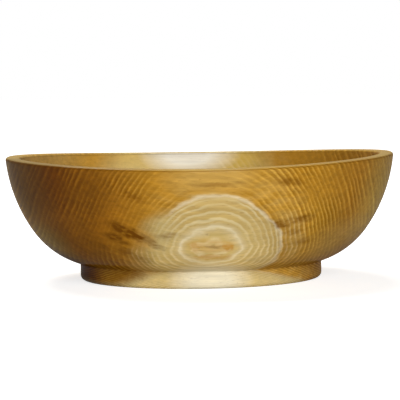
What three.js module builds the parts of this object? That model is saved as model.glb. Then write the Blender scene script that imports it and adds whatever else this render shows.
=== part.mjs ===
// A salad bowl turned from one blank of ash, standing on a wide plain foot.
// Millimetres, +Z up. The foot rests on Z = 0, and the grain of the wood runs along X.
// It is drawn as it comes off the lathe, and then moves as the wood does when it dries.

import * as THREE from "three";

// The bowl as it is turned
const RIM_RADIUS = 125;
const RIM_HEIGHT = 78;
const WALL_THICKNESS = 9.5;
const FLOOR_THICKNESS = 10;

// The rounding of the rim, a little softer on the inside
const RIM_OUTER_ROUND = 1.7;
const RIM_INNER_ROUND = 2.2;

// The foot, and the shallow recess turned under it that leaves a ring to stand on
const FOOT_RADIUS = 78;
const FOOT_HEIGHT = 11.2;
const FOOT_EDGE_ROUND = 3.2;
const FOOT_COVE = 1.5;
const REST_RING_WIDTH = 8;
const RECESS_DEPTH = 3;
const RECESS_ROUND = 1.2;

// The outer wall's slope where it leaves the foot and where it reaches the rim, up from level
const SLOPE_AT_FOOT = THREE.MathUtils.degToRad(16.7);
const SLOPE_AT_RIM = THREE.MathUtils.degToRad(83.8);

// The outer wall is two arcs that meet smoothly, and so are the floor and lower wall inside.
// Each ratio is that of the outer arc's tangent length to the inner one's.
const WALL_ARC_RATIO = 1.38;
const FLOOR_ARC_RATIO = 0.51;

// How the wood has moved: narrower across the grain, and the rim higher at the ends of the grain
const SHRINKAGE_ACROSS_GRAIN = 0.02;
const RIM_SADDLE = 2;

// How far a facet of the profile may lie from its true curve, and the facets in one turn
const FACET_DEVIATION = 0.05;
const FACETS_ROUND = 80;

const QUARTER_TURN = Math.PI / 2;
const INWARDS = Math.PI;
const OUTWARDS = 0;
const DOWN = -QUARTER_TURN;
const UP = QUARTER_TURN;

// The profile is drawn in a half plane: across is the distance from the axis, and up is the height.
function at(across, up) {
  return new THREE.Vector2(across, up);
}

function along(heading) {
  return at(Math.cos(heading), Math.sin(heading));
}

// An arc that leaves a point on one heading and swings round to another. The point itself
// is left out, since the profile already holds it.
function arc(from, headingStart, headingEnd, radius) {
  const swing = headingEnd - headingStart;
  const side = Math.sign(swing) * QUARTER_TURN;
  const centre = along(headingStart + side).multiplyScalar(radius).add(from);
  const step = 2 * Math.acos(1 - FACET_DEVIATION / radius);
  const count = Math.ceil(Math.abs(swing) / step);
  return Array.from({ length: count }, (_, i) => {
    const heading = headingStart + (swing * (i + 1)) / count;
    return along(heading - side).multiplyScalar(radius).add(centre);
  });
}

// A smooth run of arcs from one point, with a heading for each joint and a radius for each arc
function run(from, headings, radii) {
  return radii.reduce(
    (points, radius, i) => [
      ...points,
      ...arc(points.at(-1), headings[i], headings[i + 1], radius),
    ],
    [from],
  );
}

// From the axis under the bowl, out to the ring that it stands on
function recess() {
  const side = FOOT_RADIUS - FOOT_EDGE_ROUND - REST_RING_WIDTH;
  const ceilingEdge = at(side - RECESS_ROUND, RECESS_DEPTH);
  return [
    at(0, RECESS_DEPTH),
    ...run(ceilingEdge, [OUTWARDS, DOWN], [RECESS_ROUND]),
    at(side, 0),
  ];
}

// The foot's rounded edge, its upright side, and the cove that leads into the wall
function foot() {
  const restEdge = at(FOOT_RADIUS - FOOT_EDGE_ROUND, 0);
  const coveStart = at(FOOT_RADIUS, FOOT_HEIGHT - FOOT_COVE * Math.cos(SLOPE_AT_FOOT));
  return [
    ...run(restEdge, [OUTWARDS, UP], [FOOT_EDGE_ROUND]),
    ...run(coveStart, [UP, SLOPE_AT_FOOT], [FOOT_COVE]),
  ];
}

// Two arcs that run smoothly from one point to another on given headings: their radii, and
// the heading where they meet
function fitTwoArcs(from, headingFrom, to, headingTo, ratio) {
  const leaving = along(headingFrom);
  const arriving = along(headingTo);
  const gap = to.clone().sub(from);
  const reach = gap.dot(leaving) + ratio * gap.dot(arriving);
  const bend = 2 * ratio * (1 - leaving.dot(arriving));
  const firstTangent = (Math.sqrt(reach ** 2 + bend * gap.lengthSq()) - reach) / bend;
  const secondTangent = ratio * firstTangent;
  const firstCorner = from.clone().addScaledVector(leaving, firstTangent);
  const secondCorner = to.clone().addScaledVector(arriving, -secondTangent);
  const joint = secondCorner.sub(firstCorner).angle();
  return {
    firstRadius: firstTangent / Math.tan((joint - headingFrom) / 2),
    secondRadius: secondTangent / Math.tan((headingTo - joint) / 2),
    joint,
  };
}

// The inside, from the middle of the floor outwards. The upper wall shares its centre with the
// outside, so its thickness is even, and the rim's inner edge ends level with its outer one.
function hollow(wallEnd, wall) {
  const radius = wall.secondRadius - WALL_THICKNESS;
  const centre = along(SLOPE_AT_RIM + QUARTER_TURN).multiplyScalar(wall.secondRadius).add(wallEnd);
  const upperStart = along(wall.joint - QUARTER_TURN).multiplyScalar(radius).add(centre);
  const floor = at(0, RECESS_DEPTH + FLOOR_THICKNESS);
  const lower = fitTwoArcs(floor, OUTWARDS, upperStart, wall.joint, FLOOR_ARC_RATIO);
  const rimDrop = RIM_HEIGHT - RIM_INNER_ROUND - centre.y;
  const slopeAtRim = Math.acos(-rimDrop / (radius + RIM_INNER_ROUND));
  return run(
    floor,
    [OUTWARDS, lower.joint, wall.joint, slopeAtRim, OUTWARDS],
    [lower.firstRadius, lower.secondRadius, radius, RIM_INNER_ROUND],
  );
}

function bowlProfile() {
  const footSide = foot();
  const wallStart = footSide.at(-1);
  const wallEnd = at(
    RIM_RADIUS - RIM_OUTER_ROUND * (1 - Math.sin(SLOPE_AT_RIM)),
    RIM_HEIGHT - RIM_OUTER_ROUND * (1 + Math.cos(SLOPE_AT_RIM)),
  );
  const wall = fitTwoArcs(wallStart, SLOPE_AT_FOOT, wallEnd, SLOPE_AT_RIM, WALL_ARC_RATIO);
  const outside = run(
    wallStart,
    [SLOPE_AT_FOOT, wall.joint, SLOPE_AT_RIM, INWARDS],
    [wall.firstRadius, wall.secondRadius, RIM_OUTER_ROUND],
  );
  return [...recess(), ...footSide, ...outside.slice(1), ...hollow(wallEnd, wall).reverse()];
}

// Nothing below the foot's top moves up or down, so the foot stays flat.
function season(geometry) {
  const place = geometry.getAttribute("position");
  const point = new THREE.Vector3();
  for (let i = 0; i < place.count; i += 1) {
    point.fromBufferAttribute(place, i);
    const share = Math.max(0, (point.z - FOOT_HEIGHT) / (RIM_HEIGHT - FOOT_HEIGHT));
    const saddle = (point.x ** 2 - point.y ** 2) / RIM_RADIUS ** 2;
    point.z += RIM_SADDLE * share * saddle;
    point.y *= 1 - SHRINKAGE_ACROSS_GRAIN;
    place.setXYZ(i, point.x, point.y, point.z);
  }
  geometry.computeVertexNormals();
  return geometry;
}

function makeBowl() {
  const turned = new THREE.LatheGeometry(bowlProfile(), FACETS_ROUND).rotateX(QUARTER_TURN);
  const ash = new THREE.MeshStandardMaterial({ color: 0xb98a3e, roughness: 0.42, metalness: 0 });
  const bowl = new THREE.Mesh(season(turned), ash);
  bowl.name = "bowl";
  return bowl;
}

const woodenBowl = new THREE.Group();
woodenBowl.add(makeBowl());

export default woodenBowl;
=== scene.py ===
"""A salad bowl turned from one piece of ash, standing in soft daylight on a pale floor.

Metres, +Z up. The foot rests on Z = 0, the grain of the wood runs along X, and -Y is the front.
"""

import cmath
import math

import bmesh
import bpy
from bpy.props import FloatProperty, FloatVectorProperty, PointerProperty
from mathutils import Euler, Matrix, Vector


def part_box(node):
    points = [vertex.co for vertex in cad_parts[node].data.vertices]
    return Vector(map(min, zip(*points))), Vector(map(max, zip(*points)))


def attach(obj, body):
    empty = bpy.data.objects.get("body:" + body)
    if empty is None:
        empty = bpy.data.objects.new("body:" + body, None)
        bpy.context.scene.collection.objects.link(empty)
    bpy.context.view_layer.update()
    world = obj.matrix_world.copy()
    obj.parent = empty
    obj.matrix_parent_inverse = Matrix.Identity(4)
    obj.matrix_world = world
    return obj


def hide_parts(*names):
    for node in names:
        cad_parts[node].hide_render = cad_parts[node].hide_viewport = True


bl_info = {
    "name": "Turned ash bowl",
    "version": (1, 0, 0),
    "blender": (4, 5, 0),
    "location": "View3D > Sidebar > Bowl",
    "description": "Turns a salad bowl from one piece of ash and sets it in soft light",
    "category": "Mesh",
}

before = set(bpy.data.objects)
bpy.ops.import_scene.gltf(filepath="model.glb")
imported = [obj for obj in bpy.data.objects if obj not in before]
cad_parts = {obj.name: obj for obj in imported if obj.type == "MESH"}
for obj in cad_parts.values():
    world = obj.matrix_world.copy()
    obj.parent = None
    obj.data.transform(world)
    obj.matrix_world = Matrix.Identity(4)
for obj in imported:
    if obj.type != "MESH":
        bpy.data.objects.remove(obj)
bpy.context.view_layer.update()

MM = 0.001
RIM_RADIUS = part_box("bowl")[1].x


def linear(colour):
    """Turns an sRGB hex colour such as #c08a3c into Blender's linear values."""
    parts = [int(colour[i : i + 2], 16) / 255 for i in (1, 3, 5)]
    return [p / 12.92 if p <= 0.04045 else ((p + 0.055) / 1.055) ** 2.4 for p in parts]


def length_property(name, description, default_mm):
    return FloatProperty(
        name=name, description=description, default=default_mm * MM, unit="LENGTH", precision=4
    )


def angle_property(name, description, default_degrees):
    return FloatProperty(
        name=name, description=description, default=math.radians(default_degrees), subtype="ANGLE"
    )


def colour_property(name, description, default):
    return FloatVectorProperty(
        name=name, description=description, default=linear(default), subtype="COLOR", min=0, max=1
    )


class BowlShape(bpy.types.PropertyGroup):
    """The sizes of the bowl as it is turned, before the wood moves."""

    rim_radius: FloatProperty(
        name="Rim radius",
        description="From the axis to the outside of the rim",
        default=RIM_RADIUS,
        unit="LENGTH",
    )
    rim_height: length_property("Rim height", "From the table to the top of the rim", 78)
    wall: length_property("Wall", "Thickness of the upper wall", 9.5)
    floor: length_property("Floor", "Thickness in the middle of the floor", 10)
    rim_outer_round: length_property("Rim outer round", "Rounding on the outside of the rim", 1.7)
    rim_inner_round: length_property("Rim inner round", "Rounding on the inside of the rim", 2.2)
    foot_radius: length_property("Foot radius", "From the axis to the side of the foot", 78)
    foot_height: length_property("Foot height", "From the table to the top of the foot", 11.2)
    foot_round: length_property("Foot round", "Rounding of the foot's lower edge", 3.2)
    foot_cove: length_property("Foot cove", "Radius where the foot meets the wall", 1.5)
    rest_ring: length_property("Rest ring", "Width of the ring that the bowl stands on", 8)
    recess_depth: length_property("Recess depth", "Depth of the recess under the foot", 3)
    recess_round: length_property("Recess round", "Radius in the corner of the recess", 1.2)
    slope_at_foot: angle_property("Slope at the foot", "Slope where the wall leaves the foot", 16.7)
    slope_at_rim: angle_property("Slope at the rim", "Slope where the wall reaches the rim", 83.8)
    wall_ratio: FloatProperty(
        name="Wall ratio",
        description="Tangent length of the outer wall's upper arc over that of its lower one",
        default=1.38,
    )
    floor_ratio: FloatProperty(
        name="Floor ratio",
        description="Tangent length of the lower wall's arc inside over that of the floor's",
        default=0.51,
    )
    saddle: length_property("Saddle", "How far the rim has risen at the ends of the grain", 2)
    shrinkage: FloatProperty(
        name="Shrinkage",
        description="How much the bowl has narrowed across the grain",
        default=0.02,
        subtype="FACTOR",
    )


class AshWood(bpy.types.PropertyGroup):
    """Where the middle of the tree lies beside the bowl, and the colours of its wood."""

    pith_across: length_property("Pith across", "The tree's middle, across the grain", -3.2)
    pith_height: length_property("Pith height", "The tree's middle, over the table", 121.2)
    grain_turn: angle_property("Grain turn", "How far the grain turns off X, from above", 4.73)
    grain_dip: angle_property("Grain dip", "How far the grain dips towards +X", 1.28)
    sap_front: length_property("Sapwood in front", "Where it starts, from the pith", 131.5)
    sap_back: length_property("Sapwood at the back", "Where it starts, from the pith", 113.5)
    heart_line: colour_property("Heartwood line", "Pale line of a year in the heart", "#c99a3a")
    heart_band: colour_property("Heartwood band", "Wood between those lines", "#916204")
    # This tint of the browner heart also carries the painted shade towards the ends of the bowl and
    # of its foot
    brown_heart_and_shade: colour_property("Brown heart", "Tint of the heart's browner wood", "#bfa676")
    sap_line: colour_property("Sapwood line", "Pale line of a year in the sapwood", "#d2be8b")
    sap_band: colour_property("Sapwood band", "Wood between those lines", "#c5ac6d")
    khaki: colour_property("Khaki sapwood", "Tint of the sapwood on the left", "#e3dcc2")
    # The palest sapwood's colour is also that of the painted highlights on the foot and inside at
    # the back
    outer_sap_and_highlight: colour_property("Outer sapwood", "Palest years, next to the bark", "#f1efe0")
    stain: colour_property("Warm stain", "Stains in the bull's-eye and beside it", "#c48e36")
    smudge: colour_property("Smudge", "Grey marks in the sapwood", "#86693a")
    fleck: colour_property("Fleck", "Dark flecks and pores", "#6a3f02")


class StageLook(bpy.types.PropertyGroup):
    """The camera's place, the lights and the floor."""

    distance: length_property("Distance", "From the bowl's axis to the camera", 1434.7)
    height: length_property("Height", "Camera over the table", 144.2)
    tilt: angle_property("Tilt", "How far the camera looks down", 3.754)
    roll: angle_property("Roll", "How far the camera leans", 0.835)
    lens: FloatProperty(name="Lens", description="Focal length", default=199.8, unit="CAMERA")
    window: FloatProperty(name="Window", description="Power of the window light", default=12.5)
    reflector: FloatProperty(name="Reflector", description="Power of the reflector", default=16)
    rear_window: FloatProperty(
        name="Rear window", description="Power of the light behind the bowl", default=36
    )
    floor: colour_property("Floor", "Pale floor under the bowl", "#d8d7d4")


# Places in the wood are given by their middle and half sizes in millimetres, and then by how
# strong they are, unless a comment says otherwise. All have soft edges. Those under a name that
# holds INSIDE are kept to the inside of the wall.

# Where the heart is browner, partly as the wood's own colour and partly as painted shade towards
# the ends of the wall and of the foot. These are round, so each has one half size.
BROWN_HEART_AND_SHADE = (
    ((-111, -80, 64), 125, 1.0),
    ((-110, -68, 78), 60, 0.9),
    ((124, -46, 60), 80, 0.6),
    ((78, -100, 82), 44, 0.3),
    ((86, -32, 2), 42, 0.5),
    ((-80, -26, 0), 40, 1.0),
    ((-90, -20, 0), 40, 0.9),
)

# Where the heart is more olive, towards the ends of the bowl
OLIVE_HEART = (
    ((-128, -40, 56), (50, 80, 60), 0.6),
    ((-104, -42, 20), (36, 40, 34), 0.85),
    ((126, -38, 46), (42, 56, 54), 0.65),
)

# Where the heart is paler outside, low on the right as a painted reflection of the white floor, and
# on the inside of the wall on the left as painted light
PALER_HEART_AND_REFLECTION = (
    ((94, -60, 24), (44, 44, 22), 0.24),
    ((8, -120, 71), (36, 20, 17), 0.3),
)
PAINTED_LIGHT_INSIDE = (((-98, 42, 76), (45, 60, 24), 0.45),)

# Where the sapwood starts further out from the pith, or nearer to it, and by how many millimetres
LOBES = (
    ((-33, -108, 43), (18, 24, 11), -2.2),
    ((50, -98, 36), (28, 30, 30), -1.3),
    ((-55, -52, 4), (31, 30, 11), 4.2),
)

# Where a few years beside the sapwood are as pale as it
PALE_YEARS = (
    ((54, -92, 31), (12, 20, 26), 0.5),
    ((-38, -91, 24), (7, 12, 9), 0.6),
)

# Where the sapwood is nearly white: on the side of the foot partly its own palest colour and partly
# a painted highlight, and inside at the back a painted highlight of the window
WHITEST_AND_HIGHLIGHT = (((6, -76, 4), (29, 24, 20), 0.55),)
HIGHLIGHT_INSIDE = (((-8, 112, 75), (38, 20, 17), 1.0),)

# The palest ring in the sapwood in front, and where it shows, as an oval in the bull's-eye
PALEST_RING = 49.5
PALEST_RING_SHOWS = ((7, -103, 32), (54, 34, 34), 0.2)

# The inside of the wall at the back
BACK_INSIDE = ((-10, 116, 76), (140, 60, 26), 1.0)

# Where the rings are hard to make out: how faint they are, and then how pale the wood is there,
# from 0 between the lines to 1 on a line
FADED = (
    ((-6, -121, 71), (48, 40, 19), 0.7, 0.4),
    ((-86, -66, 26), (44, 44, 26), 0.6, 0.4),
    ((-112, -66, 62), (34, 50, 30), 0.4, 0.4),
    ((-52, -98, 40), (30, 30, 26), 0.75, 0.4),
    ((-26, -106, 38), (18, 24, 22), 0.6, 0.55),
    ((94, -62, 26), (44, 50, 24), 0.5, 0.42),
    ((120, -34, 58), (26, 50, 44), 0.5, 0.42),
)
FADED_INSIDE = (
    ((-70, 98, 75), (105, 50, 22), 0.9, 1.0),
    ((60, 98, 75), (80, 50, 22), 0.9, 0.52),
    ((-105, 35, 74), (34, 60, 20), 0.8, 0.6),
)

# Broad patches where the colour is lighter or darker, and by what share each is lighter or, below
# 0, darker
LIGHTER_AND_DARKER_PATCHES = (
    ((-52, -98, 39), (20, 30, 18), 0.26),
    ((-37, -88, 19), (26, 30, 14), 0.26),
    ((-72, -98, 60), (26, 30, 17), -0.14),
    ((-88, -64, 33), (16, 26, 13), -0.16),
    ((-88, -46, 21), (12, 26, 8), 0.1),
    ((80, -76, 38), (16, 34, 26), -0.18),
    ((12, -113, 46), (34, 30, 14), -0.07),
    ((-42, -110, 55), (20, 30, 14), 0.1),
    ((-38, -74, 1), (26, 30, 9), 0.12),
    ((32, -88, 19), (40, 30, 11), 0.1),
    ((106, -48, 44), (14, 34, 18), 0.18),
)

# Dark flecks, grey smudges, and warm stains in the bull's-eye and beside it. The number before
# the strength is the tilt in degrees, up towards +X.
FLECKS = (
    ((-45, -101, 38.5), (17, 14, 4.6), -24, 1.0),
    ((-39.5, -102, 35.5), (9, 12, 3.8), -20, 1.0),
    ((-52, -97, 34.5), (10, 14, 3.6), -15, 0.9),
    ((-47, -96, 31.5), (7, 12, 2.8), -15, 0.6),
    ((-60, -86, 28.5), (6, 12, 3.0), -20, 0.45),
    ((-46, -90, 25.5), (8, 12, 3.4), -10, 0.5),
    ((-39, -88, 21.5), (6, 12, 2.6), -10, 0.3),
    ((-40, -113, 60), (10, 12, 3.0), -22, 0.55),
    ((54, -109, 67.5), (12, 12, 3.4), -5, 0.6),
    ((49.5, -101, 41.5), (8, 12, 3.6), 0, 0.75),
    ((62, -96, 44), (12, 12, 3.4), 6, 0.65),
    ((57, -93, 36), (8, 12, 2.6), 0, 0.4),
    ((62, -85, 29.5), (9, 12, 2.8), 8, 0.4),
    ((8, -121, 67), (22, 10, 2.0), 0, 0.35),
    ((-46, -63, 7.5), (20, 18, 4.5), 6, 0.45),
)
SMUDGES = (
    ((-31, -103, 33), (8, 12, 2.6), -32, 0.7),
    ((-26, -100, 29), (6, 12, 2.4), -20, 0.7),
    ((-20, -107, 36), (9, 12, 2.4), 5, 0.6),
    ((-33, -90, 20.5), (7, 14, 6.5), -20, 0.32),
    ((8, -103, 28.5), (7, 12, 1.3), 0, 0.45),
)
WARM_STAINS = (
    ((6, -103, 29), (18, 14, 6), 0, 0.4),
    ((16.5, -102, 28.5), (5, 12, 4.5), 0, 0.8),
    ((-3.5, -103, 28.5), (5, 12, 5.5), 0, 0.55),
    ((7, -99, 21.5), (15, 12, 2.4), 0, 0.65),
    ((-34, -99, 33), (10, 14, 9), 0, 0.4),
)

# A patch or mark has its full strength where its spot is above this, in its inner two fifths
FULL_STRENGTH = 0.6

# The years, counted outwards from the pith, with radii in millimetres. The tree put on nearly
# 5 mm a year at first. Its years crowd together by a power of the radius up to 131 mm, and from
# there each is 0.9 mm wide. LAST_YEARS holds two radii, and the years added by each of them.
RINGS_AT_PITH = 0.832
RINGS_PER_MM = 0.2131
CROWDED_RINGS = 14.619
CROWDED_RADIUS = 130.0
CROWDING_POWER = 7.454
MOST_CROWDING = 1.0092
LAST_YEARS = (131.2, 191.2, 0.0, 53.0)

# Two waves stand for runs of good and poor years: by how many years each shifts the rings, its
# radians to the millimetre, and where it starts in radians
GOOD_AND_POOR_YEARS = ((-0.175, 0.3342, 15.092), (0.099, 0.5812, 5.644))

# How pale the wood is through one year, from 0 in the darkest band to 1 on the line, and the
# tone that a faint year keeps to
YEAR_TONES = (
    (0.0, 0.2),
    (0.2, 0.05),
    (0.36, 0.4),
    (0.5, 1.0),
    (0.66, 0.7),
    (0.82, 0.32),
    (1.0, 0.2),
)
MIDDLE_TONE = 0.4

# The stage, in metres: the floor's half side, the lights' distance from the height on the bowl
# that they face, and how far the camera sees
FLOOR_REACH = 6.0
LIGHT_DISTANCE = 1.8
LIT_HEIGHT = 0.04
SIGHT = 50

# The profile is drawn in the complex plane: the real part is the distance from the axis, and
# the imaginary part is the height.
OUTWARDS, UP, INWARDS, DOWN = 0, math.pi / 2, math.pi, -math.pi / 2
FINEST_STEP = 0.02 * MM
FACETS_ROUND = 320


def along(heading):
    return cmath.rect(1, heading)


def arc(start, heading_start, heading_end, radius):
    """Points of an arc that leaves start on one heading and swings round to another."""
    swing = heading_end - heading_start
    side = math.copysign(UP, swing)
    centre = start + radius * along(heading_start + side)
    step = 2 * math.acos(1 - FINEST_STEP / radius)
    count = math.ceil(abs(swing) / step)
    headings = [heading_start + swing * (i + 1) / count for i in range(count)]
    return [centre + radius * along(heading - side) for heading in headings]


def run(start, headings, radii):
    """A smooth run of arcs, with a heading for each joint and a radius for each arc."""
    points = [start]
    for heading, following, radius in zip(headings, headings[1:], radii):
        points += arc(points[-1], heading, following, radius)
    return points


def fit_two_arcs(start, heading_start, end, heading_end, ratio):
    """Radii of two arcs that run smoothly from start to end, and the heading where they meet."""
    leaving = along(heading_start)
    arriving = along(heading_end)
    gap = end - start
    reach = (gap * (leaving + ratio * arriving).conjugate()).real
    bend = 2 * ratio * (1 - math.cos(heading_end - heading_start))
    first = (math.sqrt(reach**2 + bend * abs(gap) ** 2) - reach) / bend
    second = ratio * first
    joint = cmath.phase((end - second * arriving) - (start + first * leaving))
    return (
        first / math.tan((joint - heading_start) / 2),
        second / math.tan((heading_end - joint) / 2),
        joint,
    )


def bowl_profile(shape):
    """The half section of the bowl, from the axis underneath to the axis inside."""
    recess_side = shape.foot_radius - shape.foot_round - shape.rest_ring
    recess = [
        complex(0, shape.recess_depth),
        *run(
            complex(recess_side - shape.recess_round, shape.recess_depth),
            [OUTWARDS, DOWN],
            [shape.recess_round],
        ),
        complex(recess_side, 0),
    ]
    cove_drop = shape.foot_cove * math.cos(shape.slope_at_foot)
    foot = [
        *run(complex(shape.foot_radius - shape.foot_round, 0), [OUTWARDS, UP], [shape.foot_round]),
        *run(
            complex(shape.foot_radius, shape.foot_height - cove_drop),
            [UP, shape.slope_at_foot],
            [shape.foot_cove],
        ),
    ]
    rim = shape.rim_outer_round
    wall_end = complex(
        shape.rim_radius - rim * (1 - math.sin(shape.slope_at_rim)),
        shape.rim_height - rim * (1 + math.cos(shape.slope_at_rim)),
    )
    lower, upper, joint = fit_two_arcs(
        foot[-1], shape.slope_at_foot, wall_end, shape.slope_at_rim, shape.wall_ratio
    )
    outside = run(
        foot[-1], [shape.slope_at_foot, joint, shape.slope_at_rim, INWARDS], [lower, upper, rim]
    )
    centre = wall_end + upper * along(shape.slope_at_rim + UP)
    inner = upper - shape.wall
    floor = complex(0, shape.recess_depth + shape.floor)
    inner_joint = centre + inner * along(joint - UP)
    dish, corner, floor_joint = fit_two_arcs(
        floor, OUTWARDS, inner_joint, joint, shape.floor_ratio
    )
    edge = shape.rim_inner_round
    inner_slope = math.acos((centre.imag + edge - shape.rim_height) / (inner + edge))
    inside = run(
        floor, [OUTWARDS, floor_joint, joint, inner_slope, OUTWARDS], [dish, corner, inner, edge]
    )
    return [*recess, *foot, *outside[1:], *reversed(inside)]


def seasoned(point, shape):
    """Where a point of the turned bowl lies once the wood has dried."""
    share = max(0, (point.z - shape.foot_height) / (shape.rim_height - shape.foot_height))
    saddle = (point.x**2 - point.y**2) / shape.rim_radius**2
    rise = shape.saddle * share * saddle
    return Vector((point.x, point.y * (1 - shape.shrinkage), point.z + rise))


def bowl_mesh(shape):
    """The profile swept round the axis as quads, with a fan of triangles at each pole."""
    built = bmesh.new()
    rings = []
    for point in bowl_profile(shape):
        if point.real < FINEST_STEP:
            rings.append([built.verts.new(seasoned(Vector((0, 0, point.imag)), shape))])
            continue
        turns = [cmath.rect(point.real, math.tau * i / FACETS_ROUND) for i in range(FACETS_ROUND)]
        spots = [Vector((turn.real, turn.imag, point.imag)) for turn in turns]
        rings.append([built.verts.new(seasoned(spot, shape)) for spot in spots])
    for ring, following in zip(rings, rings[1:]):
        for i in range(FACETS_ROUND):
            corners = [ring[i % len(ring)], ring[(i + 1) % len(ring)]]
            corners += [following[(i + 1) % len(following)], following[i % len(following)]]
            built.faces.new(list(dict.fromkeys(corners)))
    mesh = bpy.data.meshes.new("turned_bowl")
    built.to_mesh(mesh)
    built.free()
    mesh.shade_smooth()
    return mesh


def node(tree, kind, *values, output=0, sockets=None, **settings):
    """Adds a node with its settings, fills its sockets in order and by name, returns an output."""
    made = tree.nodes.new("ShaderNode" + kind)
    for name, value in settings.items():
        setattr(made, name, value)
    for key, value in [*enumerate(values), *(sockets or {}).items()]:
        if isinstance(value, bpy.types.NodeSocket):
            tree.links.new(value, made.inputs[key])
        else:
            made.inputs[key].default_value = value
    return made.outputs[output] if len(made.outputs) else None


def empty_tree(owner):
    """Gives a new material or world an empty node tree."""
    owner.use_nodes = True
    owner.node_tree.nodes.clear()
    return owner.node_tree


def grain_noise(tree, place, length, width, detail=1.0):
    """Noise, mostly 0.3 to 0.7, with features of these millimetres in the grain and across it."""
    scale = (1 / length, 1 / width, 1 / width)
    stretched = node(tree, "VectorMath", place, scale, operation="MULTIPLY")
    return node(tree, "TexNoise", stretched, sockets={"Scale": 1.0, "Detail": detail})


def spot(tree, place, centre, half_sizes, tilt=0.0):
    """1 in the middle of an ellipsoid, which tilts up towards +X, and 0 outside it."""
    placing = {
        "Location": [c * MM for c in centre],
        "Rotation": (0, -math.radians(tilt), 0),
        "Scale": [s * MM for s in half_sizes],
    }
    in_spot = node(tree, "Mapping", place, sockets=placing, vector_type="TEXTURE")
    return node(tree, "TexGradient", in_spot, output="Fac", gradient_type="SPHERICAL")


def patch(figure, centre, half_sizes, strength, where=1.0):
    """A spot of a given strength that fades over its outer part, kept to one part of the bowl."""
    soft = spot(figure.tree, figure.place, centre, half_sizes)
    soft = node(figure.tree, "MapRange", soft, 0.0, FULL_STRENGTH, 0.0, strength)
    return node(figure.tree, "Math", soft, where, operation="MULTIPLY")


def strongest(figure, patches, value=0.0, where=1.0):
    """The highest at each point of a value and the patches in a list."""
    for centre, half_sizes, strength in patches:
        soft = patch(figure, centre, half_sizes, strength, where)
        value = node(figure.tree, "Math", value, soft, operation="MAXIMUM")
    return value


class Figure:
    """The figure of the wood at each point of the bowl, which the colours and the finish follow.

    place is the point and height its height over the table, both in metres. inside is 1 on the
    inside of the wall, back is 1 where that is at the back, and left is 1 on the left, seen from
    the front. in_tree is the point in millimetres from the pith, with the grain along X, and
    across is its Y, which is below 0 in front. ring counts the years out to radius, and season
    runs from 0 to 1 in each. line says how pale the year is there, on_line is 1 on the pale
    lines, and between is 1 off them. into_sap is how many millimetres further out than the start
    of the sapwood the point lies. front is 1 where the border of the sapwood is clear.
    """

    def __init__(self, tree, wood):
        self.tree = tree
        self.wood = wood
        self.place = node(tree, "TexCoord", output="Object")
        self.normal = node(tree, "TexCoord", output="Normal")
        sides = node(tree, "SeparateXYZ", self.place).node.outputs
        self.height = sides["Z"]
        self.left = node(
            tree, "MapRange", sides["X"], -10 * MM, -34 * MM, interpolation_type="SMOOTHSTEP"
        )

        # Only the inside of the wall faces the axis, so there the place and the normal oppose
        along_normal = node(
            tree, "VectorMath", self.place, self.normal, output="Value", operation="DOT_PRODUCT"
        )
        self.inside = node(tree, "MapRange", along_normal, -20 * MM, -50 * MM)
        self.back = patch(self, *BACK_INSIDE, where=self.inside)

        placing = {
            "Location": (0, wood.pith_across, wood.pith_height),
            "Rotation": (0, wood.grain_dip, wood.grain_turn),
            "Scale": (MM, MM, MM),
        }
        self.in_tree = node(tree, "Mapping", self.place, sockets=placing, vector_type="TEXTURE")
        tree_sides = node(tree, "SeparateXYZ", self.in_tree).node.outputs
        self.across = tree_sides["Y"]
        outwards = node(tree, "CombineXYZ", 0.0, tree_sides["Y"], tree_sides["Z"])
        from_pith = node(tree, "VectorMath", outwards, output="Value", operation="LENGTH")
        self.radius = wandering_radius(self, from_pith)
        self.ring = ring_number(self)
        self.season = node(tree, "Math", self.ring, operation="FRACT")
        self.line = year_lines(self)
        self.on_line = node(
            tree, "MapRange", self.line, 0.2, 0.75, interpolation_type="SMOOTHSTEP"
        )
        self.between = node(tree, "Math", 1.0, self.on_line, operation="SUBTRACT")
        self.into_sap = depth_in_sapwood(self)

        # The border is clear in front, but not on the left
        front = node(tree, "MapRange", self.across, -90, -50, 1.0, 0.0)
        clear = node(tree, "MapRange", self.left, 0.0, 0.5, 1.0, 0.0)
        self.front = node(tree, "Math", front, clear, operation="MULTIPLY")


def wandering_radius(figure, from_pith):
    """No tree is quite round: long waves move a ring by about 0.8 mm, and short ones by 0.2 mm."""
    tree, in_tree = figure.tree, figure.in_tree
    sway = node(tree, "MapRange", grain_noise(tree, in_tree, 110, 45), 0, 1, -1.6, 1.6)
    ripple = node(tree, "MapRange", grain_noise(tree, in_tree, 12, 8, 2.0), 0, 1, -0.5, 0.5)
    radius = node(tree, "Math", from_pith, sway, operation="ADD")
    return node(tree, "Math", radius, ripple, operation="ADD")


def ring_number(figure):
    """The years that the tree had grown by each radius."""
    tree, radius = figure.tree, figure.radius
    share = node(tree, "Math", radius, CROWDED_RADIUS, operation="DIVIDE")
    share = node(tree, "Math", share, MOST_CROWDING, operation="MINIMUM")
    crowding = node(tree, "Math", share, CROWDING_POWER, operation="POWER")
    last = node(tree, "MapRange", radius, *LAST_YEARS)
    ring = node(tree, "Math", radius, RINGS_PER_MM, RINGS_AT_PITH, operation="MULTIPLY_ADD")
    ring = node(tree, "Math", ring, last, operation="ADD")
    ring = node(tree, "Math", crowding, CROWDED_RINGS, ring, operation="MULTIPLY_ADD")
    for years, pace, start in GOOD_AND_POOR_YEARS:
        wave = node(tree, "Math", radius, pace, start, operation="MULTIPLY_ADD")
        wave = node(tree, "Math", wave, operation="SINE")
        ring = node(tree, "Math", wave, years, ring, operation="MULTIPLY_ADD")
    return ring


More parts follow.
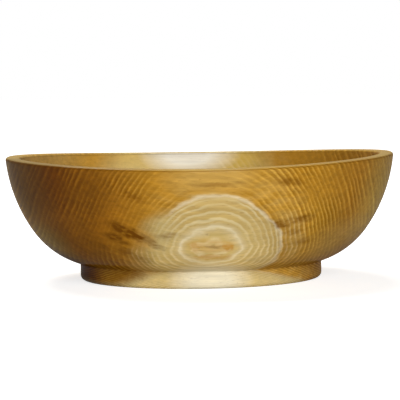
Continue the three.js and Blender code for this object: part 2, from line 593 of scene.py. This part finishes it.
def year_lines(figure):
    """Each year shows as a narrow pale line between broad darker bands."""
    tree = figure.tree
    ramp = node(tree, "ValToRGB", figure.season).node
    stops = ramp.color_ramp.elements
    stops.remove(stops[1])
    for position, tone in YEAR_TONES:
        stop = stops.new(position) if position else stops[0]
        stop.color = (tone, tone, tone, 1)

    # Some years are clearer than others, and each is clearer in some places
    year = node(tree, "Math", figure.ring, operation="FLOOR")
    luck = node(tree, "TexWhiteNoise", sockets={"W": year}, noise_dimensions="1D")
    clearness = node(tree, "MapRange", luck, 0, 1, 0.5, 1.2)
    places = grain_noise(tree, figure.in_tree, 45, 14, 2.0)
    fading = node(tree, "MapRange", places, 0.36, 0.62, 0.35, 1.1)
    contrast = node(tree, "Math", clearness, fading, operation="MULTIPLY")
    above = node(tree, "Math", ramp.outputs["Color"], MIDDLE_TONE, operation="SUBTRACT")
    line = node(tree, "Math", above, contrast, MIDDLE_TONE, operation="MULTIPLY_ADD")
    for faded_places, where in ((FADED, 1.0), (FADED_INSIDE, figure.inside)):
        for centre, half_sizes, faintness, paleness in faded_places:
            faded = patch(figure, centre, half_sizes, faintness, where)
            line = node(tree, "Mix", faded, sockets={"A": line, "B": paleness})
    return line


def depth_in_sapwood(figure):
    """How far out a point lies from where the sapwood starts, which has lobes and small teeth."""
    tree, wood = figure.tree, figure.wood

    # The heart lies off the middle, so sapwood starts further out in front than at the back
    sap_start = node(
        tree, "MapRange", figure.across, -127, 118, wood.sap_front / MM, wood.sap_back / MM,
        interpolation_type="SMOOTHSTEP",
    )
    for centre, half_sizes, shift in LOBES:
        lobe = spot(tree, figure.place, centre, half_sizes)
        sap_start = node(tree, "Math", lobe, shift, sap_start, operation="MULTIPLY_ADD")
    depth = node(tree, "Math", figure.radius, sap_start, operation="SUBTRACT")
    teeth = grain_noise(tree, figure.in_tree, 24, 9)
    teeth = node(tree, "MapRange", teeth, 0, 1, -0.6, 0.6)
    return node(tree, "Math", depth, teeth, operation="ADD")


def heartwood(figure):
    """Brown heartwood, with a pale line for each year, painted shade towards the ends of the bowl,
    and a painted reflection and painted light where it is paler.
    """
    tree, wood, into_sap = figure.tree, figure.wood, figure.into_sap
    paleness = node(tree, "MapRange", figure.line, 0.05, 0.8, 0.0, 0.9)
    heart = node(
        tree, "Mix", output="Result", data_type="RGBA",
        sockets={"Factor": paleness, "A": (*wood.heart_band, 1), "B": (*wood.heart_line, 1)},
    )
    # Browner patches: partly the heart's own colour, partly painted shade towards the ends of the
    # wall and of the foot
    for centre, reach, strength in BROWN_HEART_AND_SHADE:
        brown = spot(tree, figure.place, centre, (reach, reach, reach))
        brown = node(
            tree, "MapRange", brown, 0.05, 0.62, 0.0, strength, interpolation_type="SMOOTHSTEP"
        )
        heart = node(
            tree, "Mix", output="Result", data_type="RGBA", blend_type="MULTIPLY",
            sockets={"Factor": brown, "A": heart, "B": (*wood.brown_heart_and_shade, 1)},
        )

    # It is greener and greyer where it is olive, and a little brighter near the sapwood
    olive = strongest(figure, OLIVE_HEART)
    greener = node(tree, "Math", olive, 0.036, 0.5, operation="MULTIPLY_ADD")
    greyer = node(tree, "Math", olive, -0.1, 1.0, operation="MULTIPLY_ADD")
    brighter = node(tree, "MapRange", into_sap, -14, 0, 1.0, 1.03, interpolation_type="SMOOTHSTEP")
    heart = node(
        tree, "HueSaturation",
        sockets={"Color": heart, "Hue": greener, "Saturation": greyer, "Value": brighter},
    )

    # Except on the left, it is paler for 12 mm before the sapwood, in streaks along the grain
    paler = node(tree, "MapRange", into_sap, -12, -3, 0.0, 0.2)
    right = node(tree, "Math", 1.0, figure.left, operation="SUBTRACT")
    paler = node(tree, "Math", paler, right, operation="MULTIPLY")
    patchy = grain_noise(tree, figure.in_tree, 34, 5, 2.0)
    patchy = node(tree, "MapRange", patchy, 0.4, 0.6, 0.35, 1.15)
    paler = node(tree, "Math", paler, patchy, operation="MULTIPLY")
    # Paler patches: low on the right a painted reflection of the white floor, inside on the left
    # painted light
    paler = strongest(figure, PALER_HEART_AND_REFLECTION, paler)
    paler = strongest(figure, PAINTED_LIGHT_INSIDE, paler, figure.inside)
    return node(
        tree, "Mix", output="Result", data_type="RGBA",
        sockets={"Factor": paler, "A": heart, "B": (*wood.sap_band, 1)},
    )


def sapwood(figure):
    """Pale sapwood, with a paler line for each year."""
    tree, wood, height = figure.tree, figure.wood, figure.height
    sap = node(
        tree, "Mix", output="Result", data_type="RGBA",
        sockets={"Factor": figure.on_line, "A": (*wood.sap_band, 1), "B": (*wood.sap_line, 1)},
    )

    # Its bands are deeper outside at the back, where every year shows clearly
    outside = node(tree, "Math", 1.0, figure.inside, operation="SUBTRACT")
    behind = node(tree, "MapRange", figure.across, 20, 80, 0.0, 0.2)
    behind = node(tree, "Math", behind, outside, operation="MULTIPLY")
    deeper = node(tree, "Math", figure.between, behind, operation="MULTIPLY")
    bands = node(tree, "Math", 1.0, deeper, operation="SUBTRACT")

    # It is deeper in its first 5 mm. Low on the wall it is brightened as painted light from the
    # floor, and on the foot it is darker again
    first = node(tree, "MapRange", figure.into_sap, 0.5, 5, 0.84, 1.05)
    floor_bounce_light = node(tree, "MapRange", height, 34 * MM, 18 * MM, 1.0, 1.26)
    foot = node(tree, "MapRange", height, 14 * MM, 10 * MM, 1.0, 0.79)
    brightness = node(tree, "Math", floor_bounce_light, bands, operation="MULTIPLY")
    brightness = node(tree, "Math", brightness, foot, operation="MULTIPLY")
    brightness = node(tree, "Math", first, brightness, operation="MULTIPLY")

    # It is yellower inside at the back, and khaki in front on the left
    yellower = node(tree, "MapRange", figure.back, 0.0, 1.0, 1.0, 1.26)
    sap = node(
        tree, "HueSaturation",
        sockets={"Color": sap, "Saturation": yellower, "Value": brightness},
    )
    khaki = node(tree, "MapRange", figure.across, -80, -60, 0.7, 0.0)
    khaki = node(tree, "Math", figure.left, khaki, operation="MULTIPLY")
    return node(
        tree, "Mix", output="Result", data_type="RGBA", blend_type="MULTIPLY",
        sockets={"Factor": khaki, "A": sap, "B": (*wood.khaki, 1)},
    )


def share_of_sapwood(figure):
    """0 in the heart and 1 in the sapwood, with a border that is sharp in front on the right."""
    tree, into_sap = figure.tree, figure.into_sap
    blur = node(tree, "MapRange", figure.across, -100, 80, 0.6, 6.0)
    blur = node(tree, "Math", figure.left, 2.2, blur, operation="MULTIPLY_ADD")
    share = node(tree, "Math", into_sap, blur, operation="DIVIDE")
    share = node(tree, "MapRange", share, -1.0, 1.0, interpolation_type="SMOOTHSTEP")
    on_years = node(tree, "MapRange", figure.on_line, 0.0, 1.0, 0.35, 1.0)
    share = strongest(figure, PALE_YEARS, share, on_years)

    # In front, the heart's brown goes on for a few years between the first pale lines
    brown = node(tree, "MapRange", into_sap, 0.5, 6.0, 0.38, 0.0)
    brown = node(tree, "Math", brown, figure.front, operation="MULTIPLY")
    brown = node(tree, "Math", brown, figure.between, operation="MULTIPLY")
    pale = node(tree, "Math", 1.0, brown, operation="SUBTRACT")
    return node(tree, "Math", share, pale, operation="MULTIPLY")


def heart_and_sap(figure, share):
    """Both woods, with the lines at their border, the palest years of the sapwood, and painted
    highlights on the foot and inside at the back.
    """
    tree, wood, into_sap = figure.tree, figure.wood, figure.into_sap
    colour = node(
        tree, "Mix", output="Result", data_type="RGBA",
        sockets={"Factor": share, "A": heartwood(figure), "B": sapwood(figure)},
    )

    # A pale line where the sapwood starts, and a darker one just inside it: middle, half width
    # and strength
    tints = []
    for middle, half_width, strength, tone in (
        (0.3, 0.45, 0.26, wood.outer_sap_and_highlight),
        (-0.9, 0.7, 0.3, wood.heart_band),
    ):
        off = node(tree, "Math", into_sap, middle, operation="SUBTRACT")
        off = node(tree, "Math", off, operation="ABSOLUTE")
        border = node(tree, "MapRange", off, 0.0, half_width, strength, 0.0)
        border = node(tree, "Math", border, figure.front, operation="MULTIPLY")
        tints.append((border, tone))

    # The years next to the bark are the palest. On the side of the foot they are paler still,
    # partly as a painted highlight, and inside at the back a painted highlight of the window is
    # laid on in their colour
    palest = node(tree, "MapRange", into_sap, 6.0, 14.0, 0.0, 0.08)
    palest = strongest(figure, WHITEST_AND_HIGHLIGHT, palest)
    palest = strongest(figure, HIGHLIGHT_INSIDE, palest, figure.inside)
    tints.append((palest, wood.outer_sap_and_highlight))

    # One year shows as a broad pale oval in the bull's-eye
    off = node(tree, "Math", figure.ring, PALEST_RING, operation="SUBTRACT")
    off = node(tree, "Math", off, operation="ABSOLUTE")
    oval = node(tree, "MapRange", off, 0.0, 0.7, 1.0, 0.0)
    tints.append((patch(figure, *PALEST_RING_SHOWS, where=oval), wood.outer_sap_and_highlight))
    for tint, tone in tints:
        colour = node(
            tree, "Mix", output="Result", data_type="RGBA",
            sockets={"Factor": tint, "A": colour, "B": (*tone, 1)},
        )
    return colour


def uneven_shade_and_painted_light(figure, share):
    """Clouds, streaks and bundles of fibres, broad lighter and darker patches, and painted light
    inside at the back, as a factor on the brightness of the wood.
    """
    tree = figure.tree

    # Clouds, streaks and fibres: length, width, darkest and palest. The fibres are drawn 0.9 mm
    # wide, where real bundles are a quarter of that.
    shade = 1.0
    for length, width, darkest, palest in (
        (55, 20, 0.94, 1.06),
        (30, 2.6, 0.86, 1.12),
        (16, 0.9, 0.92, 1.07),
    ):
        uneven = grain_noise(tree, figure.in_tree, length, width, 2.0)
        uneven = node(tree, "MapRange", uneven, 0.3, 0.7, darkest, palest)
        shade = node(tree, "Math", shade, uneven, operation="MULTIPLY")

    # The sapwood is more even than the heart, and most even inside at the back
    calm = node(tree, "Math", figure.back, 0.6, operation="MULTIPLY")
    calm_sap = node(tree, "Math", share, 0.4, operation="MULTIPLY")
    calm = node(tree, "Math", calm, calm_sap, operation="MAXIMUM")
    shade = node(tree, "Mix", calm, sockets={"A": shade, "B": 1.0})
    for centre, half_sizes, change in LIGHTER_AND_DARKER_PATCHES:
        brightness_patch = patch(figure, centre, half_sizes, change)
        shade = node(tree, "Math", brightness_patch, shade, shade, operation="MULTIPLY_ADD")
    # Inside at the back the wood is brightened by painted light
    brighter = node(tree, "MapRange", figure.back, 0.0, 1.0, 1.0, 1.13)
    return node(tree, "Math", shade, brighter, operation="MULTIPLY")


def rim_painted_light_and_shade(figure, colour):
    """The top of the rim is painted paler as light and sheen, with a line of painted shade along
    both its edges.
    """
    tree, wood = figure.tree, figure.wood
    upwards = node(tree, "SeparateXYZ", figure.normal).node.outputs["Z"]
    on_rim = node(tree, "MapRange", figure.height, 68 * MM, 73 * MM)
    top = node(tree, "MapRange", upwards, 0.6, 0.9, 0.0, 0.45)
    edge = node(tree, "Math", upwards, 0.38, operation="SUBTRACT")
    edge = node(tree, "Math", edge, operation="ABSOLUTE")
    edge = node(tree, "MapRange", edge, 0.0, 0.25, 0.5, 0.0)
    for strength, tone in ((top, wood.sap_band), (edge, wood.fleck)):
        strength = node(tree, "Math", strength, on_rim, operation="MULTIPLY")
        colour = node(
            tree, "Mix", output="Result", data_type="RGBA",
            sockets={"Factor": strength, "A": colour, "B": (*tone, 1)},
        )
    return colour


def marked(figure, colour):
    """Stains, smudges and flecks, with slightly ragged outlines and broken up along the grain."""
    tree, wood, in_tree = figure.tree, figure.wood, figure.in_tree

    # A ragged outline wanders by a millimetre or two, in bends about 4 mm long
    ragged = node(tree, "TexNoise", in_tree, output="Color", sockets={"Scale": 1 / 4})
    shift = node(tree, "VectorMath", ragged, (-0.5, -0.5, -0.5), operation="ADD")
    reach = (6 * MM, 6 * MM, 4 * MM)
    moved = node(tree, "VectorMath", shift, reach, figure.place, operation="MULTIPLY_ADD")
    broken = node(tree, "MapRange", grain_noise(tree, in_tree, 16, 2.2, 2.0), 0.34, 0.56, 0.45, 1.1)
    for marks, tone in ((WARM_STAINS, wood.stain), (SMUDGES, wood.smudge), (FLECKS, wood.fleck)):
        shown = 0.0
        for centre, half_sizes, tilt, strength in marks:
            mark = spot(tree, moved, centre, half_sizes, tilt)
            mark = node(tree, "MapRange", mark, 0.0, FULL_STRENGTH, 0.0, strength)
            shown = node(tree, "Math", shown, mark, operation="MAXIMUM")
        shown = node(tree, "Math", shown, broken, operation="MULTIPLY")
        colour = node(
            tree, "Mix", output="Result", data_type="RGBA",
            sockets={"Factor": shown, "A": colour, "B": (*tone, 1)},
        )
    return colour


def open_pores(figure):
    """Dashes in the grain, most of them outside each pale line.

    They are drawn 0.5 mm wide, where real ones are half of that.
    """
    tree = figure.tree
    pores = node(tree, "MapRange", grain_noise(tree, figure.in_tree, 5, 0.5), 0.6, 0.7)
    crowded = node(tree, "MapRange", figure.season, 0.5, 1.0, 0.2, 1.0)
    return node(tree, "Math", pores, crowded, operation="MULTIPLY")


def oiled_ash(wood):
    """Ash turned from the solid, sanded fine and wiped with a thin coat of oil.

    The rings of the tree run through the whole bowl. They show as a bull's-eye on its belly,
    where the wall lies along them, and as slanting lines towards its ends, where it cuts them.
    The oil deepens the colours, and leaves the wood matt with only a faint clear sheen.
    """
    material = bpy.data.materials.new("oiled_ash")
    tree = empty_tree(material)
    figure = Figure(tree, wood)
    share = share_of_sapwood(figure)
    colour = heart_and_sap(figure, share)
    colour = node(
        tree, "HueSaturation", sockets={"Color": colour, "Value": uneven_shade_and_painted_light(figure, share)}
    )
    colour = marked(figure, rim_painted_light_and_shade(figure, colour))

    # Pores are dark, but hardly show inside at the back
    pores = open_pores(figure)
    darkness = node(tree, "MapRange", figure.back, 0.0, 1.0, 0.35, 0.1)
    darkness = node(tree, "Math", pores, darkness, operation="MULTIPLY")
    colour = node(
        tree, "Mix", output="Result", data_type="RGBA",
        sockets={"Factor": darkness, "A": colour, "B": (*wood.fleck, 1)},
    )

    # In millimetres: pores sink by 0.05, and the dense pale lines stand up by 0.02
    relief = node(tree, "Math", figure.line, 0.02, operation="MULTIPLY")
    relief = node(tree, "Math", pores, -0.05, relief, operation="MULTIPLY_ADD")
    bump = node(tree, "Bump", sockets={"Height": relief, "Strength": 1.0, "Distance": MM})

    # The wood itself has no gloss. All of it comes from the oil, as a coat of low weight.
    finish = {
        "Base Color": colour,
        "Roughness": 0.45,
        "IOR": 1.5,
        "Specular IOR Level": 0.0,
        "Coat Weight": 0.07,
        "Coat Roughness": 0.13,
        "Coat IOR": 1.5,
        "Normal": bump,
    }
    node(tree, "OutputMaterial", node(tree, "BsdfPrincipled", sockets=finish))
    return material


class BOWL_OT_turn_bowl(bpy.types.Operator):
    """Turn the bowl from one piece of ash and let the wood move"""

    bl_idname = "bowl.turn_bowl"
    bl_label = "Turn the bowl"
    bl_options = {"REGISTER", "UNDO"}

    def execute(self, context):
        scene = context.scene
        bowl = bpy.data.objects.new("turned_bowl", bowl_mesh(scene.bowl_shape))
        scene.collection.objects.link(bowl)
        bowl.data.materials.append(oiled_ash(scene.ash_wood))
        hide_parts("bowl")
        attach(bowl, "root")
        return {"FINISHED"}


def seen(tree):
    """1 for what is seen straight, as a reflection or through glass, and 0 for what only lights."""
    path = node(tree, "LightPath").node.outputs
    either = node(tree, "Math", path["Is Camera Ray"], path["Is Glossy Ray"], operation="MAXIMUM")
    return node(tree, "Math", either, path["Is Transmission Ray"], operation="MAXIMUM")


def pale_floor(colour):
    """Matt pale paper, which shows as white and still takes the bowl's shadow."""
    material = bpy.data.materials.new("pale_paper")
    tree = empty_tree(material)
    paper = node(tree, "BsdfDiffuse", (*colour, 1))

    # Near the bowl the paper glows less, so that the shadow shows, and from 0.6 m out it is white
    place = node(tree, "TexCoord", output="Object")
    far = node(tree, "VectorMath", place, output="Value", operation="LENGTH")
    strength = node(tree, "MapRange", far, 0.15, 0.6, 0.75, 1.0)
    glow = node(tree, "Emission", (1, 1, 1, 1), strength)
    bright = node(tree, "AddShader", paper, glow)
    node(tree, "OutputMaterial", node(tree, "MixShader", seen(tree), paper, bright))
    return material


def white_surroundings(scene):
    """A dim room that is seen, straight or as a reflection, as white."""
    world = bpy.data.worlds.new("white_surroundings")
    tree = empty_tree(world)
    room = node(tree, "Background", (1, 1, 1, 1), 0.05)
    white = node(tree, "Background", (1, 1, 1, 1), 1.0)
    node(tree, "OutputWorld", node(tree, "MixShader", seen(tree), room, white))
    scene.world = world


def soft_box(scene, name, bearing, elevation, size, power):
    """A soft light that faces the bowl. Its bearing is in degrees from the front to the right."""
    data = bpy.data.lights.new(name, "AREA")
    data.shape = "RECTANGLE"
    data.size, data.size_y = size
    data.energy = power
    box = bpy.data.objects.new(name, data)
    turn, rise = math.radians(bearing), math.radians(elevation)
    away = Vector(
        (math.sin(turn) * math.cos(rise), -math.cos(turn) * math.cos(rise), math.sin(rise))
    )
    box.location = Vector((0, 0, LIT_HEIGHT)) + away * LIGHT_DISTANCE
    box.rotation_euler = away.to_track_quat("Z", "Y").to_euler()
    scene.collection.objects.link(box)


class BOWL_OT_set_stage(bpy.types.Operator):
    """Set the floor, the lights and the camera round the bowl"""

    bl_idname = "bowl.set_stage"
    bl_label = "Set the stage"
    bl_options = {"REGISTER", "UNDO"}

    def execute(self, context):
        scene = context.scene
        look = scene.stage_look
        mesh = bpy.data.meshes.new("floor")
        signs = ((-1, -1), (1, -1), (1, 1), (-1, 1))
        corners = [(x * FLOOR_REACH, y * FLOOR_REACH, 0) for x, y in signs]
        mesh.from_pydata(corners, [], [(0, 1, 2, 3)])
        floor = bpy.data.objects.new("floor", mesh)
        scene.collection.objects.link(floor)
        floor.data.materials.append(pale_floor(look.floor))
        white_surroundings(scene)
        for name, bearing, elevation, size in (
            ("window", 10.5, 21, (1.0, 0.36)),
            ("reflector", 12, 5, (0.9, 0.3)),
            ("rear_window", 200, 58, (1.2, 0.8)),
        ):
            soft_box(scene, name, bearing, elevation, size, getattr(look, name))

        camera = bpy.data.objects.new("camera", bpy.data.cameras.new("camera"))
        camera.data.lens = look.lens
        camera.data.clip_end = SIGHT
        level = Euler((math.pi / 2 - look.tilt, 0, 0)).to_matrix()
        turned = level @ Matrix.Rotation(-look.roll, 3, "Z")
        camera.matrix_world = Matrix.Translation((0, -look.distance, look.height)) @ turned.to_4x4()
        scene.collection.objects.link(camera)
        scene.camera = camera
        scene.view_settings.view_transform = "Standard"
        return {"FINISHED"}


class BOWL_PT_sidebar(bpy.types.Panel):
    """The bowl's sizes, its wood and its stage"""

    bl_idname = "BOWL_PT_sidebar"
    bl_label = "Turned ash bowl"
    bl_space_type = "VIEW_3D"
    bl_region_type = "UI"
    bl_category = "Bowl"

    def draw(self, context):
        for group, heading in (
            (context.scene.bowl_shape, "Shape"),
            (context.scene.ash_wood, "Wood"),
            (context.scene.stage_look, "Stage"),
        ):
            column = self.layout.column(align=True)
            column.label(text=heading)
            for name in group.bl_rna.properties.keys():
                if name not in {"rna_type", "name"}:
                    column.prop(group, name)
        for operator in (BOWL_OT_turn_bowl, BOWL_OT_set_stage):
            self.layout.operator(operator.bl_idname)


CLASSES = (
    BowlShape,
    AshWood,
    StageLook,
    BOWL_OT_turn_bowl,
    BOWL_OT_set_stage,
    BOWL_PT_sidebar,
)


def register():
    for kind in CLASSES:
        bpy.utils.register_class(kind)
    bpy.types.Scene.bowl_shape = PointerProperty(type=BowlShape)
    bpy.types.Scene.ash_wood = PointerProperty(type=AshWood)
    bpy.types.Scene.stage_look = PointerProperty(type=StageLook)


def unregister():
    del bpy.types.Scene.stage_look
    del bpy.types.Scene.ash_wood
    del bpy.types.Scene.bowl_shape
    for kind in reversed(CLASSES):
        bpy.utils.unregister_class(kind)


def main():
    register()
    bpy.ops.bowl.turn_bowl()
    bpy.ops.bowl.set_stage()


if __name__ == "__main__":
    main()
